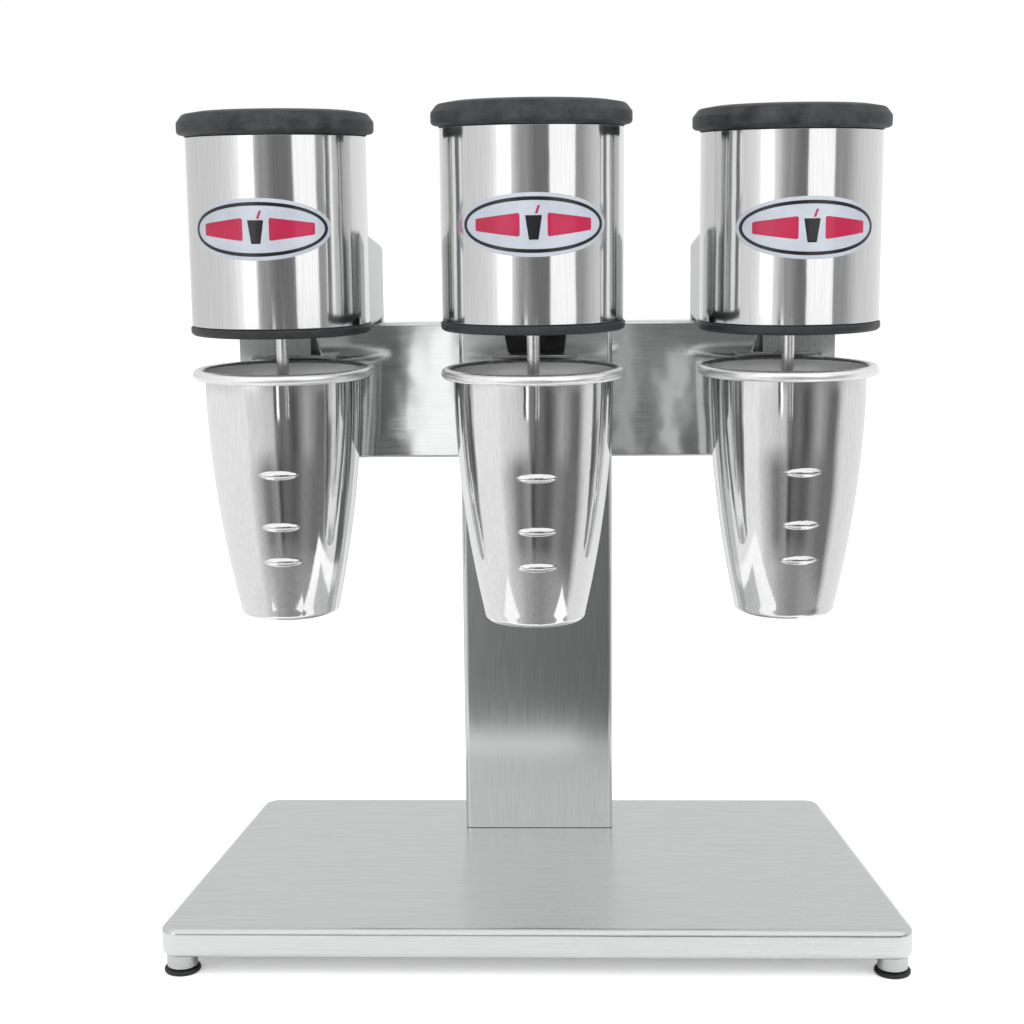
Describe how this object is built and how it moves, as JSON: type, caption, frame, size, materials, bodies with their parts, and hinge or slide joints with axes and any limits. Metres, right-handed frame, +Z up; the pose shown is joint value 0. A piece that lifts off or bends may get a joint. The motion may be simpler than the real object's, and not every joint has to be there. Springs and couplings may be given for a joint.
{
  "type": "milkshake mixer",
  "caption": "Countertop milkshake mixer: motor heads on a crossbar and column, each with a spindle that reaches into a steel cup, over a flat steel base.",
  "frame": {"origin": "on the table under the middle of the base", "axes": "+X to the user's right, +Y away from the user, +Z up"},
  "size_m": [0.422, 0.22, 0.485],
  "materials": {
    "brushed_steel": "satin, vertical brushing",
    "polished_housing": "bright, fine brushing",
    "polished_steel": "polished",
    "cup_steel": "bright polished stainless",
    "black_plastic": "matt, fine grain",
    "switch_plastic": "satin black",
    "rubber": "matt black",
    "laminated_iron": "varnished laminations",
    "armature": "varnished iron and copper",
    "bearing_steel": "ground",
    "badge_enamel": "domed resin badge"
  },
  "bodies": {
    "root": {"base_pan": "brushed_steel", "front_left_foot_collar": "polished_steel", "front_left_foot_pad": "rubber", "front_right_foot_collar": "polished_steel", "front_right_foot_pad": "rubber", "rear_left_foot_collar": "polished_steel", "rear_left_foot_pad": "rubber", "rear_right_foot_collar": "polished_steel", "rear_right_foot_pad": "rubber", "column_tube": "brushed_steel", "crossbar": "brushed_steel", "left_bracket": "brushed_steel", "right_bracket": "brushed_steel", "middle_bracket": "brushed_steel", "lead_boot": "rubber", "cable_gland": "black_plastic", "left_lid": "black_plastic", "left_housing_shell": "polished_housing", "left_lower_flange": "black_plastic", "left_badge": "badge_enamel", "left_motor_stator": "laminated_iron", "left_lower_bearing": "bearing_steel", "left_upper_bearing": "bearing_steel", "left_cup_clip": "brushed_steel", "left_switch_body": "switch_plastic", "middle_lid": "black_plastic", "middle_housing_shell": "polished_housing", "middle_lower_flange": "black_plastic", "middle_badge": "badge_enamel", "middle_motor_stator": "laminated_iron", "middle_lower_bearing": "bearing_steel", "middle_upper_bearing": "bearing_steel", "middle_cup_clip": "brushed_steel", "middle_switch_body": "switch_plastic", "right_lid": "black_plastic", "right_housing_shell": "polished_housing", "right_lower_flange": "black_plastic", "right_badge": "badge_enamel", "right_motor_stator": "laminated_iron", "right_lower_bearing": "bearing_steel", "right_upper_bearing": "bearing_steel", "right_cup_clip": "brushed_steel", "right_switch_body": "switch_plastic"},
    "left_spindle": {"left_spindle_shaft": "polished_steel", "left_rotor": "armature", "left_agitator": "polished_steel"},
    "left_cup": {"left_cup": "cup_steel"},
    "left_rocker": {"left_rocker": "switch_plastic"},
    "middle_spindle": {"middle_spindle_shaft": "polished_steel", "middle_rotor": "armature", "middle_agitator": "polished_steel"},
    "middle_cup": {"middle_cup": "cup_steel"},
    "middle_rocker": {"middle_rocker": "switch_plastic"},
    "right_spindle": {"right_spindle_shaft": "polished_steel", "right_rotor": "armature", "right_agitator": "polished_steel"},
    "right_cup": {"right_cup": "cup_steel"},
    "right_rocker": {"right_rocker": "switch_plastic"}
  },
  "joints": [
    {"name": "left_spindle_turn", "type": "hinge", "parent": "root", "child": "left_spindle", "pos_m": [-0.15, 0.014, 0.4], "axis": [0, 0, 1], "continuous": true},
    {"name": "left_cup_release", "type": "slide", "parent": "root", "child": "left_cup", "axis": [0, 0, -1], "range_m": [0, 0.14]},
    {"name": "left_rocker_tip", "type": "hinge", "parent": "root", "child": "left_rocker", "pos_m": [-0.142, 0.104, 0.384], "axis": [-1, 0, 0], "range_deg": [0, 20]},
    {"name": "middle_spindle_turn", "type": "hinge", "parent": "root", "child": "middle_spindle", "pos_m": [0, -0.012, 0.4], "axis": [0, 0, 1], "continuous": true},
    {"name": "middle_cup_release", "type": "slide", "parent": "root", "child": "middle_cup", "axis": [0, 0, -1], "range_m": [0, 0.14]},
    {"name": "middle_rocker_tip", "type": "hinge", "parent": "root", "child": "middle_rocker", "pos_m": [0, 0.099, 0.384], "axis": [-1, 0, 0], "range_deg": [0, 20]},
    {"name": "right_spindle_turn", "type": "hinge", "parent": "root", "child": "right_spindle", "pos_m": [0.15, 0.014, 0.4], "axis": [0, 0, 1], "continuous": true},
    {"name": "right_cup_release", "type": "slide", "parent": "root", "child": "right_cup", "axis": [0, 0, -1], "range_m": [0, 0.14]},
    {"name": "right_rocker_tip", "type": "hinge", "parent": "root", "child": "right_rocker", "pos_m": [0.142, 0.104, 0.384], "axis": [-1, 0, 0], "range_deg": [0, 20]}
  ]
}
